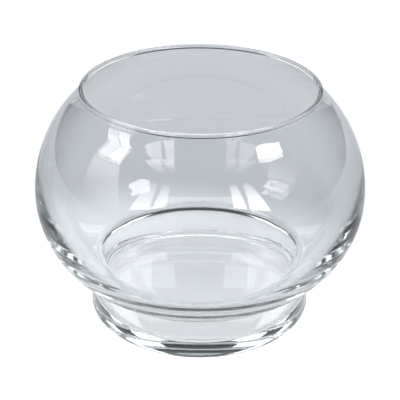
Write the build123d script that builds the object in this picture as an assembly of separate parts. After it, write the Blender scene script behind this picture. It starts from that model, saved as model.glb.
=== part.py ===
from build123d import *
from math import cos, radians, sin, sqrt
import os

# A clear glass rose bowl in millimetres: a blown bowl joined hot to a low, thick-floored foot.
# The origin is the centre of the standing plane, +Z is up, and both pieces are turned about Z.

# Bowl, outside
widest_diameter = 200.0
widest_height = 80.5
shoulder_radius = 77.0  # arc of the wall above the widest ring
shoulder_climb = 50.0  # degrees of that arc, before the lip turns up
belly_radius = 62.5  # arc of the wall below the widest ring
waist_blend = 0.5  # small hollow round where the belly meets the waist

# Bowl wall, even near the rim and thicker towards the waist
shoulder_wall = 2.0
thickening_start = 15.0  # degrees above the widest ring
keel_wall = 5.6
keel_angle = 50.0  # degrees below the widest ring, where the keel wall is measured
inner_waist_blend = 7.5  # round shoulder inside the waist

# Rim
overall_height = 145.6
mouth_diameter = 138.8  # at the middle of the bead
rim_bead = 2.9
lip_start = 47.5  # degrees up the shoulder, where the inner skin turns up into the lip
outer_neck = 46.0  # degrees below level on the bead, where the outer skin runs into it
inner_neck = 50.0  # the same for the inner skin

# Waist, where the two pieces are welded
waist_diameter = 133.6
weld_width = 2.6

# Foot
foot_diameter = 139.0
foot_wall = 4.0  # at the floor
heel_radius = 2.2
floor_thickness = 7.0
well_fillet = 6.0
standing_ring = 20.0  # width of the flat that meets the table
kick_depth = 1.4  # rise of the hollow underside at its centre

# Radii and places that follow from the sizes above
widest_radius = widest_diameter / 2
waist_radius = waist_diameter / 2
foot_radius = foot_diameter / 2
bead_radius = rim_bead / 2
weld_inner = waist_radius - weld_width
belly_middle = Vector(widest_radius - belly_radius, widest_height)
shoulder_middle = Vector(widest_radius - shoulder_radius, widest_height)


def on_arc(middle, reach, angle):
    """Point on an arc, by its angle in degrees above the level of the arc's middle."""
    return middle + Vector(cos(radians(angle)), sin(radians(angle))) * reach


def waist_round(line_radius, blend, middle, reach):
    """Ends of a hollow round that leaves an upright line and touches a belly arc above it."""
    run = line_radius + blend - middle.X
    drop = sqrt((reach + blend) ** 2 - run**2)
    return Vector(line_radius, middle.Y - drop), middle + Vector(run, -drop).normalized() * reach


# The weld lies where the outer round leaves the waist.
weld_outer, belly_foot = waist_round(waist_radius, waist_blend, belly_middle, belly_radius)
weld_height = weld_outer.Y


def turned(*edges):
    """Solid of revolution about Z from the edges of a closed outline, drawn as (radius, height)."""
    return revolve(Plane.XZ * make_face(Curve() + list(edges)), axis=Axis.Z)


def rim_points():
    """Where the outer and the inner skin of the lip run into the bead, and the bead's top."""
    middle = Vector(mouth_diameter / 2, overall_height - bead_radius)
    outer = on_arc(middle, bead_radius, -outer_neck)
    inner = on_arc(middle, bead_radius, 180 + inner_neck)
    return outer, inner, on_arc(middle, bead_radius, 90)


def inner_belly_arc():
    """Start, middle and radius of the arc inside the belly, which runs on from the even wall and meets the keel."""
    start = on_arc(shoulder_middle, shoulder_radius - shoulder_wall, thickening_start)
    inward = (shoulder_middle - start).normalized()
    chord = on_arc(belly_middle, belly_radius - keel_wall, -keel_angle) - start
    reach = chord.length**2 / (2 * chord.dot(inward))
    return start, start + inward * reach, reach


def make_bowl():
    """Blown bowl: rim bead, shoulder and belly, open below at the weld ring."""
    lip_outer, lip_inner, bead_top = rim_points()

    # Outer skin from the weld up to the bead
    outer_round = TangentArc(weld_outer, belly_foot, tangent=(0, 1))
    belly = TangentArc(belly_foot, (widest_radius, widest_height), tangent=outer_round % 1)
    shoulder = TangentArc(belly @ 1, on_arc(shoulder_middle, shoulder_radius, shoulder_climb), tangent=belly % 1)
    lip = TangentArc(shoulder @ 1, lip_outer, tangent=shoulder % 1)
    bead = ThreePointArc(lip_outer, bead_top, lip_inner)

    # Inner skin, up to the bead and down to the weld
    start, inner_middle, inner_reach = inner_belly_arc()
    upward = (start - inner_middle).rotate(Axis.Z, 90)
    inner_top = on_arc(shoulder_middle, shoulder_radius - shoulder_wall, lip_start)
    inner_shoulder = TangentArc(start, inner_top, tangent=upward)
    inner_lip = TangentArc(inner_top, lip_inner, tangent=inner_shoulder % 1)
    neck_top, inner_foot = waist_round(weld_inner, inner_waist_blend, inner_middle, inner_reach)
    inner_belly = TangentArc(start, inner_foot, tangent=-upward)
    inner_round = TangentArc(inner_foot, neck_top, tangent=inner_belly % 1)
    neck = Line(neck_top, (weld_inner, weld_height))
    weld = Line(neck @ 1, weld_outer)
    return turned(outer_round, belly, shoulder, lip, bead, inner_lip, inner_shoulder, inner_belly, inner_round,
                  neck, weld)


def make_foot():
    """Low cup: flaring hollow-curved wall, rounded heel, standing ring, kicked-up underside and thick floor."""
    # The hollow wall starts upright at the weld and ends where it touches the round of the heel.
    heel_middle = Vector(foot_radius - heel_radius, heel_radius)
    flare = foot_radius - waist_radius
    rise = weld_height - heel_radius
    wall_radius = (flare**2 + rise**2) / (2 * flare) - heel_radius
    wall_middle = Vector(waist_radius + wall_radius, weld_height)
    heel_top = heel_middle + (wall_middle - heel_middle).normalized() * heel_radius
    wall = TangentArc(weld_outer, heel_top, tangent=(0, -1))
    heel = TangentArc(heel_top, (heel_middle.X, 0), tangent=wall % 1)
    ring = Line(heel @ 1, (heel_middle.X - standing_ring, 0))
    kick = TangentArc((0, kick_depth), ring @ 1, tangent=(1, 0))
    axis = Line((0, kick_depth), (0, floor_thickness))
    inside = FilletPolyline(
        (0, floor_thickness),
        (foot_radius - foot_wall, floor_thickness),
        (weld_inner, weld_height),
        radius=well_fillet,
    )
    weld = Line((weld_inner, weld_height), weld_outer)
    return turned(wall, heel, ring, kick, axis, *inside.edges(), weld)


os.makedirs("parts", exist_ok=True)
export_step(make_bowl(), "parts/bowl.step")
export_step(make_foot(), "parts/foot.step")
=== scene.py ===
import math
import bpy
from mathutils import Matrix, Vector


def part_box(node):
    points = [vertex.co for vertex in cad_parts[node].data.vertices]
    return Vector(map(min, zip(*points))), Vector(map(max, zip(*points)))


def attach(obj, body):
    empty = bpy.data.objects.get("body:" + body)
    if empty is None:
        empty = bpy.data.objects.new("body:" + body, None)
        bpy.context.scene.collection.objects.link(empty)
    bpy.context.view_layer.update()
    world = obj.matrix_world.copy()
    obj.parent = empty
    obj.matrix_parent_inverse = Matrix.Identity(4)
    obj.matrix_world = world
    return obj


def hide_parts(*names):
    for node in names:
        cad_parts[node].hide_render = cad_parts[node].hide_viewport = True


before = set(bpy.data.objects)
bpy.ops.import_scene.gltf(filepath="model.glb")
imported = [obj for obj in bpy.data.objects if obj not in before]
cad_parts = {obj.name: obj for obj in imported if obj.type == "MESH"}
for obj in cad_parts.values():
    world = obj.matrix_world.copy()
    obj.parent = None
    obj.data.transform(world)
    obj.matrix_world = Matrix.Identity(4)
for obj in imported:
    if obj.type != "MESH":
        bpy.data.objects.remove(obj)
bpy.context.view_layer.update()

# Rose bowl of clear glass: a blown bowl welded to a low pressed foot, on a white board in a daylit room.

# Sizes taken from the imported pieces, in metres like every size below
mm = 0.001
weld_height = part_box("foot")[1].z
overall_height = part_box("bowl")[1].z
widest_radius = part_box("bowl")[1].x
foot_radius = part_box("foot")[1].x

# Bowl, outside
widest_height = 80.5 * mm
shoulder_radius = 77.0 * mm  # arc of the wall above the widest ring
shoulder_climb = math.radians(46.0)  # less than in the solids, so that the far lip draws no dark line
belly_radius = 62.5 * mm  # arc of the wall below the widest ring
waist_radius = 66.8 * mm
waist_blend = 0.5 * mm  # small hollow round where the belly meets the waist

# Bowl, wall and rim
shoulder_wall = 2.0 * mm
thickening_start = math.radians(15.0)  # above the widest ring
keel_wall = 5.6 * mm
keel_angle = math.radians(50.0)  # below the widest ring, where the keel wall is measured
inner_waist_blend = 7.5 * mm
mouth_radius = 69.4 * mm  # to the middle of the bead
bead_radius = 1.45 * mm
outer_neck = math.radians(46.0)  # below level on the bead, where the outer skin runs into it
inner_neck = math.radians(50.0)

# Weld
weld_width = 2.6 * mm
weld_inner = waist_radius - weld_width
weld_hair = 0.01 * mm  # of air, so that the two weld faces don't lie in one plane

# Foot
foot_wall = 4.0 * mm
heel_radius = 2.2 * mm
floor_thickness = 7.0 * mm
well_fillet = 6.0 * mm
standing_ring = 20.0 * mm
kick_depth = 1.4 * mm

# Rings that the turning pipe leaves inside a blown bowl, strongest low down where the wall is thick
ring_heights = (0.016 * mm, 0.010 * mm, 0.006 * mm)
ring_spacings = (11.3 * mm, 6.7 * mm, 4.3 * mm)
ring_fade = 6.0 * mm  # run at each end of the inner skin, over which the rings die out
ring_thinning = 0.1  # share of their height that is left above the widest ring

# Fineness of the turned meshes
turns = 192
outline_step = 0.6 * mm
fewest_arc_steps = 10
same_spot = 0.001 * mm
sharp_edge = math.radians(40)

# Glass: how far it bends light, the tint of thick glass, and how strongly each piece takes it
glass_bend = 1.52
no_bend = 1.0
deep_tint = "#6F8C8C"
bowl_depth = 3.5  # density per metre
foot_depth = 3.0

# Camera, matched to the outline of the vessel in the photograph
photo_elevation = math.radians(28.41)
photo_distance = 600.8 * mm
photo_aim = Vector((0, 0, 69.08 * mm))
photo_roll = math.radians(0.38)
photo_lens = 87.4  # focal length in millimetres
nearest_seen = 10 * mm

# Room: its level on the table, and as the glass sees it on its bright and its dark side
fill_level = 0.25
room_level = 0.45
dark_level = 0.03
bright_height = math.radians(31)  # of the brightest direction, which lies on the camera's side
bright_side = (0, -math.cos(bright_height), math.sin(bright_height))
dusk = (-0.38, 0.02)  # where dark turns to bright: cosines of the angle from the brightest direction
pane_distance = 1.2  # from the middle of the vessel

# Floor
floor_side = 8.0
floor_drop = 0.1 * mm  # below the standing ring, so that the two don't share a plane
floor_lift = 0.45  # added for the camera alone, which makes the board white

# Lamps
lamp_colour = "#F7FBFF"
lamp_height = 1.5
top_power = 1.4
top_softness = math.radians(80)  # width of the sky that it shines from
pool_power = 56.0
pool_offset = -25 * mm  # to the left and towards the camera
pool_cone = math.radians(14.5)
pool_blur = 0.8

# How often light may bend or bounce, which long paths inside the wall need
light_bounces = 48


class Outline:
    """Half section of a turned piece, as (radius, height), by a pen that keeps its heading into each arc."""

    def __init__(self, start, heading):
        self.points = [Vector(start)]
        self.heading = Vector(heading).normalized()
        self.weld_spans = set()

    def line(self, end, weld=False):
        """Straight run to a point. A weld run is noted, because it gets its own material."""
        start = self.points[-1]
        run = Vector(end) - start
        steps = max(1, math.ceil(run.length / outline_step))
        if weld:
            first = len(self.points) - 1
            self.weld_spans.update(range(first, first + steps))
        self.points += [start + run * (i / steps) for i in range(1, steps + 1)]
        self.heading = run.normalized()
        return self

    def arc(self, end):
        """Arc that leaves along the heading and ends at a point."""
        start = self.points[-1]
        ahead = self.heading
        left = Vector((-ahead.y, ahead.x))
        chord = Vector(end) - start
        turn = 2 * math.atan2(chord.dot(left), chord.dot(ahead))
        radius = chord.length_squared / (2 * chord.dot(left))
        steps = max(fewest_arc_steps, math.ceil(abs(turn * radius) / outline_step))
        for i in range(1, steps + 1):
            angle = turn * i / steps
            along, aside = radius * math.sin(angle), radius * (1 - math.cos(angle))
            self.points.append(start + ahead * along + left * aside)
        self.heading = ahead * math.cos(turn) + left * math.sin(turn)
        return self


def from_ring(centre_radius, reach, angle):
    """Point at an angle above the level of the widest ring, on an arc about a centre at that level."""
    return Vector((centre_radius + reach * math.cos(angle), widest_height + reach * math.sin(angle)))


def blend_between(line_radius, blend, centre, reach):
    """Where a hollow blend leaves an upright line, and where it touches the belly arc above."""
    run = line_radius + blend - centre.x
    drop = math.sqrt((reach + blend) ** 2 - run**2)
    on_line = Vector((line_radius, centre.y - drop))
    on_arc = centre + Vector((run, -drop)).normalized() * reach
    return on_line, on_arc


def with_rings(points):
    """Inner skin with its faint rings, which fade out towards both ends."""
    reached = [0.0]
    for before, after in zip(points, points[1:]):
        reached.append(reached[-1] + (after - before).length)
    ringed = [points[0]]
    for i in range(1, len(points) - 1):
        along = (points[i + 1] - points[i - 1]).normalized()
        fade = min(1.0, reached[i] / ring_fade, (reached[-1] - reached[i]) / ring_fade)
        low = max(ring_thinning, (widest_height - points[i].y) / (widest_height - weld_height))
        waves = zip(ring_heights, ring_spacings)
        rise = sum(height * math.sin(2 * math.pi * reached[i] / spacing) for height, spacing in waves)
        ringed.append(points[i] + Vector((along.y, -along.x)) * (rise * fade * low))
    return ringed + [points[-1]]


def bowl_outline():
    """Closed section of the bowl: up the outer skin from the weld, over the bead, down the inner skin."""
    belly_middle = Vector((widest_radius - belly_radius, widest_height))
    shoulder_centre = widest_radius - shoulder_radius
    weld_level = weld_height + weld_hair

    bead_middle = Vector((mouth_radius, overall_height - bead_radius))
    lip_outer = bead_middle + Vector((math.cos(outer_neck), -math.sin(outer_neck))) * bead_radius
    lip_inner = bead_middle + Vector((-math.cos(inner_neck), -math.sin(inner_neck))) * bead_radius
    bead_top = bead_middle + Vector((0, bead_radius))

    # The inner belly is one arc that runs on from the even wall and meets the keel.
    inner_start = from_ring(shoulder_centre, shoulder_radius - shoulder_wall, thickening_start)
    inward = Vector((-math.cos(thickening_start), -math.sin(thickening_start)))
    chord = from_ring(belly_middle.x, belly_radius - keel_wall, -keel_angle) - inner_start
    inner_reach = chord.length_squared / (2 * chord.dot(inward))
    inner_middle = inner_start + inward * inner_reach
    outer_foot = blend_between(waist_radius, waist_blend, belly_middle, belly_radius)[1]
    neck_top, inner_foot = blend_between(weld_inner, inner_waist_blend, inner_middle, inner_reach)

    shape = Outline((waist_radius, weld_level), (0, 1))
    shape.arc(outer_foot).arc((widest_radius, widest_height))
    shape.arc(from_ring(shoulder_centre, shoulder_radius, shoulder_climb)).arc(lip_outer)
    shape.heading = Vector((math.sin(outer_neck), math.cos(outer_neck)))
    shape.arc(bead_top).arc(lip_inner)
    rim_end = len(shape.points) - 1

    # The inner shoulder is drawn upwards, where its arcs are tangent, and taken over in reverse.
    inner_rise = Outline(inner_start, (inward.y, -inward.x))
    inner_rise.arc(from_ring(shoulder_centre, shoulder_radius - shoulder_wall, shoulder_climb))
    inner_rise.arc(lip_inner)
    shape.points += inner_rise.points[-2::-1]
    shape.heading = Vector((-inward.y, inward.x))
    shape.arc(inner_foot).arc(neck_top)
    shape.points[rim_end:] = with_rings(shape.points[rim_end:])
    return shape.line((weld_inner, weld_level)).line((waist_radius, weld_level), weld=True)


def foot_outline():
    """Half section of the foot: from the underside's middle round heel and weld to the floor's middle."""
    heel_middle = Vector((foot_radius - heel_radius, heel_radius))
    flare = foot_radius - waist_radius
    rise = weld_height - heel_radius
    hollow_radius = (flare**2 + rise**2) / (2 * flare) - heel_radius
    hollow_middle = Vector((waist_radius + hollow_radius, weld_height))
    heel_top = heel_middle + (hollow_middle - heel_middle).normalized() * heel_radius

    corner = Vector((foot_radius - foot_wall, floor_thickness))
    up_wall = (Vector((weld_inner, weld_height)) - corner).normalized()
    setback = well_fillet / math.tan(Vector((-1, 0)).angle(up_wall) / 2)

    shape = Outline((0, kick_depth), (1, 0))
    shape.arc((heel_middle.x - standing_ring, 0)).line((heel_middle.x, 0))
    shape.arc(heel_top).arc((waist_radius, weld_height))
    shape.line((weld_inner, weld_height), weld=True).line(corner + up_wall * setback)
    return shape.arc(corner - Vector((setback, 0))).line((0, floor_thickness))


def placed(name, content):
    """Object in the scene, made from a mesh, a lamp or a camera."""
    made = bpy.data.objects.new(name, content)
    bpy.context.collection.objects.link(made)
    return made


def turned(name, shape, skin, weld_skin):
    """Closed mesh of an outline turned about the vertical axis, with the weld ring in its own material."""
    closed = (shape.points[0] - shape.points[-1]).length < same_spot
    points = shape.points[:-1] if closed else shape.points
    vertices, rings = [], []
    for point in points:
        first = len(vertices)
        if point.x < same_spot:
            vertices.append((0, 0, point.y))
            rings.append([first] * turns)
            continue
        for k in range(turns):
            angle = 2 * math.pi * k / turns
            vertices.append((point.x * math.cos(angle), point.x * math.sin(angle), point.y))
        rings.append(list(range(first, first + turns)))

    faces, in_weld = [], []
    for span in range(len(points) if closed else len(points) - 1):
        low, high = rings[span], rings[(span + 1) % len(rings)]
        for k in range(turns):
            after = (k + 1) % turns
            corners = [low[k], low[after], high[after], high[k]]
            faces.append(list(dict.fromkeys(corners)))
            in_weld.append(span in shape.weld_spans)

    mesh = bpy.data.meshes.new(name)
    mesh.from_pydata(vertices, [], faces)
    mesh.materials.append(skin)
    mesh.materials.append(weld_skin)
    mesh.polygons.foreach_set("material_index", in_weld)
    mesh.polygons.foreach_set("use_smooth", [True] * len(faces))
    mesh.set_sharp_from_angle(angle=sharp_edge)
    mesh.update()
    return placed(name, mesh)


def linear(hex_colour):
    """sRGB hex colour as linear RGBA."""
    channels = [int(hex_colour[i:i + 2], 16) / 255 for i in (1, 3, 5)]
    return [c / 12.92 if c <= 0.04045 else ((c + 0.055) / 1.055) ** 2.4 for c in channels] + [1.0]


def add(tree, kind, inputs=None, **settings):
    """Adds a node: settings by name, inputs as constants or as the sockets that feed them."""
    made = tree.nodes.new(kind)
    for name, value in settings.items():
        setattr(made, name, value)
    for name, value in (inputs or {}).items():
        if isinstance(value, bpy.types.NodeSocket):
            tree.links.new(value, made.inputs[name])
        else:
            made.inputs[name].default_value = value
    return made


def empty_material(name):
    """Material without nodes, and its node tree."""
    material = bpy.data.materials.new(name)
    material.use_nodes = True
    material.node_tree.nodes.clear()
    return material, material.node_tree


def clear_glass(name, skin_colour, bend, depth):
    """Smooth clear glass that takes on a tint with depth."""
    material, tree = empty_material(name)
    glass = add(tree, "ShaderNodeBsdfPrincipled", {
        "Base Color": linear(skin_colour), "Transmission Weight": 1.0, "IOR": bend, "Roughness": 0.0,
    })
    tint = add(tree, "ShaderNodeVolumeAbsorption", {"Color": linear(deep_tint), "Density": depth})
    add(tree, "ShaderNodeOutputMaterial", {"Surface": glass.outputs[0], "Volume": tint.outputs[0]})
    return material


def blown_glass():
    """Blown soda-lime glass, fire-polished: mirror-smooth and clear, grey-green only along the wall."""
    return clear_glass("blown_soda_lime_glass", "#FBFCFD", glass_bend, bowl_depth)


def pressed_glass():
    """Pressed soda-lime glass, fire-polished: smooth as the bowl, and so clear that its floor stays pale."""
    return clear_glass("pressed_soda_lime_glass", "#FFFFFF", glass_bend, foot_depth)


def fused_weld():
    """Weld, where both pieces are one glass: it neither bends nor mirrors light, so the eye sees nothing."""
    return clear_glass("fused_weld", "#FFFFFF", no_bend, 0.0)


def make_vessel():
    """Bowl and foot, each in place of its solid."""
    weld_skin = fused_weld()
    pieces = (("bowl", bowl_outline(), blown_glass()), ("foot", foot_outline(), pressed_glass()))
    for node, shape, skin in pieces:
        piece = turned(f"{node}_glass", shape, skin, weld_skin)
        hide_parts(node)
        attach(piece, "root")


def painted_board():
    """White board, painted matt: no gloss. The camera sees it white, and the glass shows it as it is lit."""
    material, tree = empty_material("matt_white_board")
    matt = add(tree, "ShaderNodeBsdfDiffuse", {"Color": linear("#F4F4F4")})
    ray = add(tree, "ShaderNodeLightPath")
    lift = add(tree, "ShaderNodeMath", {0: ray.outputs["Is Camera Ray"], 1: floor_lift},
               operation="MULTIPLY")
    glow = add(tree, "ShaderNodeEmission", {"Color": linear("#FFFFFF"), "Strength": lift.outputs[0]})
    lifted = add(tree, "ShaderNodeAddShader", {0: matt.outputs[0], 1: glow.outputs[0]})
    add(tree, "ShaderNodeOutputMaterial", {"Surface": lifted.outputs[0]})
    return material


def make_floor():
    """Flat square board under the vessel."""
    half = floor_side / 2
    corners = [(x * half, y * half, -floor_drop) for x, y in ((-1, -1), (1, -1), (1, 1), (-1, 1))]
    mesh = bpy.data.meshes.new("floor")
    mesh.from_pydata(corners, [], [range(4)])
    mesh.materials.append(painted_board())
    floor = placed("floor", mesh)


def make_world():
    """Studio round the table: white to the camera, dim on the table, and in the glass a grey room. It is dark
    behind the table, which draws the thin dark lines of rim, waist and foot."""
    world = bpy.data.worlds.new("studio")
    bpy.context.scene.world = world
    world.use_nodes = True
    tree = world.node_tree
    tree.nodes.clear()
    ray = add(tree, "ShaderNodeLightPath")
    toward = add(tree, "ShaderNodeTexCoord")
    facing = add(tree, "ShaderNodeVectorMath", {0: toward.outputs["Generated"], 1: bright_side},
                 operation="DOT_PRODUCT")
    level = add(tree, "ShaderNodeMapRange", {
        "Value": facing.outputs["Value"], "From Min": dusk[0], "From Max": dusk[1],
        "To Min": dark_level, "To Max": room_level,
    })
    dim = add(tree, "ShaderNodeBackground", {"Color": linear("#F4F8FF"), "Strength": fill_level})
    room = add(tree, "ShaderNodeBackground", {"Color": linear("#F6FAFF"), "Strength": level.outputs[0]})
    white = add(tree, "ShaderNodeBackground", {"Color": linear("#FFFFFF"), "Strength": 1.0})
    bent = add(tree, "ShaderNodeMath",
               {0: ray.outputs["Is Glossy Ray"], 1: ray.outputs["Is Transmission Ray"]}, operation="MAXIMUM")
    seen = add(tree, "ShaderNodeMath", {0: bent.outputs[0], 1: ray.outputs["Diffuse Depth"]},
               operation="SUBTRACT", use_clamp=True)
    in_glass = add(tree, "ShaderNodeMixShader", {0: seen.outputs[0], 1: dim.outputs[0], 2: room.outputs[0]})
    shown = add(tree, "ShaderNodeMixShader",
                {0: ray.outputs["Is Camera Ray"], 1: in_glass.outputs[0], 2: white.outputs[0]})
    add(tree, "ShaderNodeOutputWorld", {"Surface": shown.outputs[0]})


def make_camera():
    """Camera at the photograph's height and distance, rolled as the photograph is."""
    lens = bpy.data.cameras.new("photo_camera")
    lens.lens = photo_lens
    lens.clip_start = nearest_seen
    camera = placed("photo_camera", lens)
    back = Vector((0, -math.cos(photo_elevation), math.sin(photo_elevation)))
    camera.location = photo_aim + back * photo_distance
    turn = (-back).to_track_quat("-Z", "Y").to_matrix() @ Matrix.Rotation(photo_roll, 3, "Z")
    camera.rotation_euler = turn.to_euler()
    bpy.context.scene.camera = camera


def make_lamp(name, kind, power, place, **settings):
    """Lamp that shines straight down on the table and doesn't show in the glass."""
    light = bpy.data.lights.new(name, kind)
    light.energy = power
    light.color = linear(lamp_colour)[:3]
    light.use_shadow = False
    for setting, value in settings.items():
        setattr(light, setting, value)
    lamp = placed(name, light)
    lamp.location = place
    lamp.visible_glossy = False
    lamp.visible_transmission = False


def make_lamps():
    """Soft light from above and a pool of light round the vessel, which clear glass lets through unshaded."""
    make_lamp("top_light", "SUN", top_power, (0, 0, lamp_height), angle=top_softness)
    make_lamp("pool_light", "SPOT", pool_power, (pool_offset, pool_offset, lamp_height),
              spot_size=pool_cone, spot_blend=pool_blur)


def window_light(name, foot, top, foot_glow, top_glow):
    """Daylight in a pane, from its glow at the foot to its glow at the top. Only the glass shows it, and the
    table gets no light from it."""
    material, tree = empty_material(name)
    place = add(tree, "ShaderNodeNewGeometry")
    height = add(tree, "ShaderNodeSeparateXYZ", {0: place.outputs["Position"]})
    glow = add(tree, "ShaderNodeMapRange", {
        "Value": height.outputs["Z"], "From Min": foot, "From Max": top,
        "To Min": foot_glow, "To Max": top_glow,
    })
    ray = add(tree, "ShaderNodeLightPath")
    direct = add(tree, "ShaderNodeMath", {0: 1.0, 1: ray.outputs["Diffuse Depth"]},
                 operation="SUBTRACT", use_clamp=True)
    seen = add(tree, "ShaderNodeMath", {0: glow.outputs[0], 1: direct.outputs[0]}, operation="MULTIPLY")
    light = add(tree, "ShaderNodeEmission", {"Color": linear("#FFFFFF"), "Strength": seen.outputs[0]})
    add(tree, "ShaderNodeOutputMaterial", {"Surface": light.outputs[0]})
    return material


def make_pane(name, corners, foot_glow, top_glow, side=1):
    """One window pane. Its corners are bearings and heights in degrees, seen from the middle of the vessel:
    bearing 0 is the camera's side, and positive bearings are to its right. Side -1 mirrors the pane."""
    middle = Vector((0, 0, widest_height))
    points = []
    for bearing, height in corners:
        turn, rise = math.radians(side * bearing), math.radians(height)
        across, ahead = math.sin(turn) * math.cos(rise), math.cos(turn) * math.cos(rise)
        points.append(middle + Vector((across, -ahead, math.sin(rise))) * pane_distance)
    heights = [point.z for point in points]
    mesh = bpy.data.meshes.new(name)
    mesh.from_pydata(points, [], [range(len(points))])
    mesh.materials.append(window_light(name, min(heights), max(heights), foot_glow, top_glow))
    pane = placed(name, mesh)
    pane.visible_camera = False
    pane.visible_diffuse = False


def make_windows():
    """Lights that the glass mirrors: the two front windows, the tall left window, the right one, a soft box
    overhead and strip lights behind the table."""
    front_outer = ((46, 12), (33, 17), (32.5, 37), (38, 36))
    front_inner = ((31, 18), (22.5, 21), (22.5, 38), (28, 37.5))
    near_strip = ((172, 10), (160, 10), (160, 42), (172, 42))
    far_strip = ((150, 10), (142, 10), (142, 42), (150, 42))
    for word, side, front_foot, front_top in (("left", -1, 5, 1.4), ("right", 1, 9, 2.5)):
        make_pane(f"{word}_front_outer", front_outer, front_foot, front_top, side)
        make_pane(f"{word}_front_inner", front_inner, front_foot, front_top, side)
        make_pane(f"{word}_strip", near_strip, foot_glow=2.2, top_glow=2.2, side=side)
        make_pane(f"{word}_far_strip", far_strip, foot_glow=1.8, top_glow=1.8, side=side)

    tall_front = ((-81, 34.5), (-70, 38), (-72.5, 44), (-74.5, 51), (-81, 48))
    tall_rear = ((-91.5, 30.5), (-82, 33.8), (-82, 47.2), (-95, 44))
    tall_low = ((-84, 8), (-52, 8), (-55, 16), (-68, 36.5), (-91.5, 29))
    right_window = ((57.5, 49), (65, 45.3), (80, 41.7), (85, 50), (66, 56))
    soft_box = ((90, 74), (150, 52), (-150, 52), (-90, 74))
    make_pane("left_upper_front", tall_front, foot_glow=8, top_glow=8)
    make_pane("left_upper_rear", tall_rear, foot_glow=5, top_glow=5)
    make_pane("left_lower", tall_low, foot_glow=0.5, top_glow=3)
    make_pane("right_upper", right_window, foot_glow=11, top_glow=11)
    make_pane("overhead_box", soft_box, foot_glow=3.5, top_glow=3.5)


scene = bpy.context.scene
scene.view_settings.view_transform = "Standard"
for limit in ("max_bounces", "transmission_bounces", "glossy_bounces"):
    setattr(scene.cycles, limit, light_bounces)

make_vessel()
make_floor()
make_world()
make_camera()
make_lamps()
make_windows()
